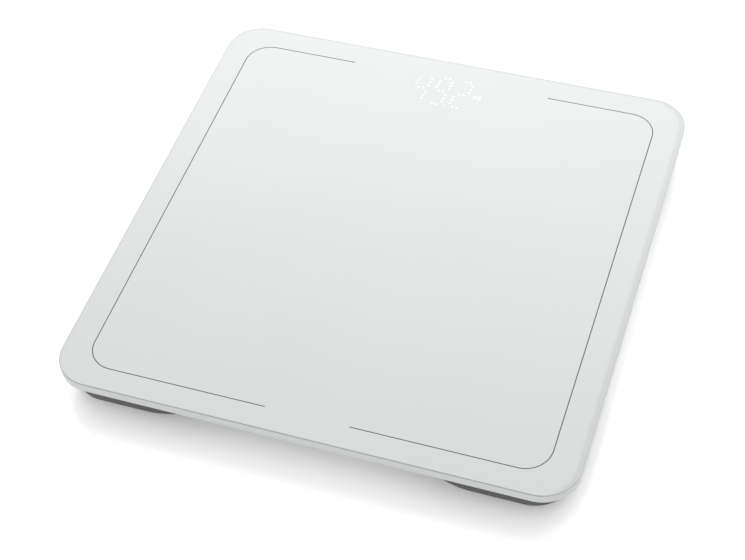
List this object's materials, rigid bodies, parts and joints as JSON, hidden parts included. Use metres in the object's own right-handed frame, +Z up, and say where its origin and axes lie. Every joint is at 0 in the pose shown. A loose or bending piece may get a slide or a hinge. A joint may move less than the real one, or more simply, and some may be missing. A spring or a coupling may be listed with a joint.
{
  "type": "digital bathroom scale",
  "caption": "Square glass-topped digital bathroom scale with a dotted light readout behind the glass, a lobed grey tray and sprung round feet.",
  "frame": {"origin": "on the floor, under the middle of the platform", "axes": "+Z up; +Y towards the readout, away from the user; +X to the right of a user who reads it"},
  "size_m": [0.3, 0.3, 0.025],
  "materials": {
    "white_glass": "tempered glass, coated white on its underside",
    "white_print": "white enamel print",
    "diffuser": "white translucent film",
    "foam_tape": "black double-sided acrylic tape",
    "grey_plastic": "fine-grained dark grey ABS",
    "seat_plastic": "black ABS",
    "foot_plastic": "dark grey ABS",
    "foot_rubber": "soft black rubber",
    "button_plastic": "mid grey ABS",
    "black_plastic": "black",
    "lamp": "surface-mounted LED",
    "circuit_board": "green solder mask",
    "chip_resin": "black epoxy",
    "cell_steel": "alloy steel, nickel plated",
    "silicone": "white silicone",
    "zinc_screw": "zinc plated",
    "plated_contact": "nickel plated",
    "battery_can": "plain wrapped can",
    "wire_cover": "PVC insulation"
  },
  "bodies": {
    "scale": {"back_print": "white_print", "base_shell": "grey_plastic", "battery_1": "battery_can", "battery_2": "battery_can", "battery_3": "battery_can", "battery_leads": "wire_cover", "battery_plates": "plated_contact", "battery_springs": "plated_contact", "board_parts": "chip_resin", "board_screws": "zinc_screw", "cell_leads_front_left": "wire_cover", "cell_leads_front_right": "wire_cover", "cell_leads_rear_left": "wire_cover", "cell_leads_rear_right": "wire_cover", "cell_screws": "zinc_screw", "cell_seat_front_left": "seat_plastic", "cell_seat_front_right": "seat_plastic", "cell_seat_rear_left": "seat_plastic", "cell_seat_rear_right": "seat_plastic", "controller_chip": "chip_resin", "display_diffuser": "diffuser", "display_lamps": "lamp", "glass_platform": "white_glass", "light_mask": "black_plastic", "load_cell_front_left": "cell_steel", "load_cell_front_right": "cell_steel", "load_cell_rear_left": "cell_steel", "load_cell_rear_right": "cell_steel", "main_board": "circuit_board", "rim_tape": "foam_tape", "seat_tape_front_left": "foam_tape", "seat_tape_front_right": "foam_tape", "seat_tape_rear_left": "foam_tape", "seat_tape_rear_right": "foam_tape", "strain_gauge_front_left": "silicone", "strain_gauge_front_right": "silicone", "strain_gauge_rear_left": "silicone", "strain_gauge_rear_right": "silicone", "unit_switch": "black_plastic"},
    "foot_front_left": {"foot_cup_front_left": "foot_plastic", "foot_pad_front_left": "foot_rubber"},
    "foot_front_right": {"foot_cup_front_right": "foot_plastic", "foot_pad_front_right": "foot_rubber"},
    "foot_rear_left": {"foot_cup_rear_left": "foot_plastic", "foot_pad_rear_left": "foot_rubber"},
    "foot_rear_right": {"foot_cup_rear_right": "foot_plastic", "foot_pad_rear_right": "foot_rubber"},
    "unit_button": {"unit_button": "button_plastic", "switch_plunger": "black_plastic"},
    "battery_door": {"battery_door": "grey_plastic"}
  },
  "joints": [
    {"name": "foot_travel_front_left", "type": "slide", "parent": "scale", "child": "foot_front_left", "axis": [0, 0, 1], "range_m": [0, 0.0006], "stiffness_N_per_m": 2000, "springref_m": -0.004, "deforming": ["load_cell_front_left"]},
    {"name": "foot_travel_front_right", "type": "slide", "parent": "scale", "child": "foot_front_right", "axis": [0, 0, 1], "range_m": [0, 0.0006], "stiffness_N_per_m": 2000, "springref_m": -0.004, "deforming": ["load_cell_front_right"]},
    {"name": "foot_travel_rear_left", "type": "slide", "parent": "scale", "child": "foot_rear_left", "axis": [0, 0, 1], "range_m": [0, 0.0006], "stiffness_N_per_m": 2000, "springref_m": -0.004, "deforming": ["load_cell_rear_left"]},
    {"name": "foot_travel_rear_right", "type": "slide", "parent": "scale", "child": "foot_rear_right", "axis": [0, 0, 1], "range_m": [0, 0.0006], "stiffness_N_per_m": 2000, "springref_m": -0.004, "deforming": ["load_cell_rear_right"]},
    {"name": "unit_button_press", "type": "slide", "parent": "scale", "child": "unit_button", "axis": [0, 0, 1], "range_m": [0, 0.0005], "stiffness_N_per_m": 3000},
    {"name": "battery_door_swing", "type": "hinge", "parent": "scale", "child": "battery_door", "pos_m": [0, 0.0674, 0.0062], "axis": [1, 0, 0], "range_deg": [0, 80]}
  ]
}
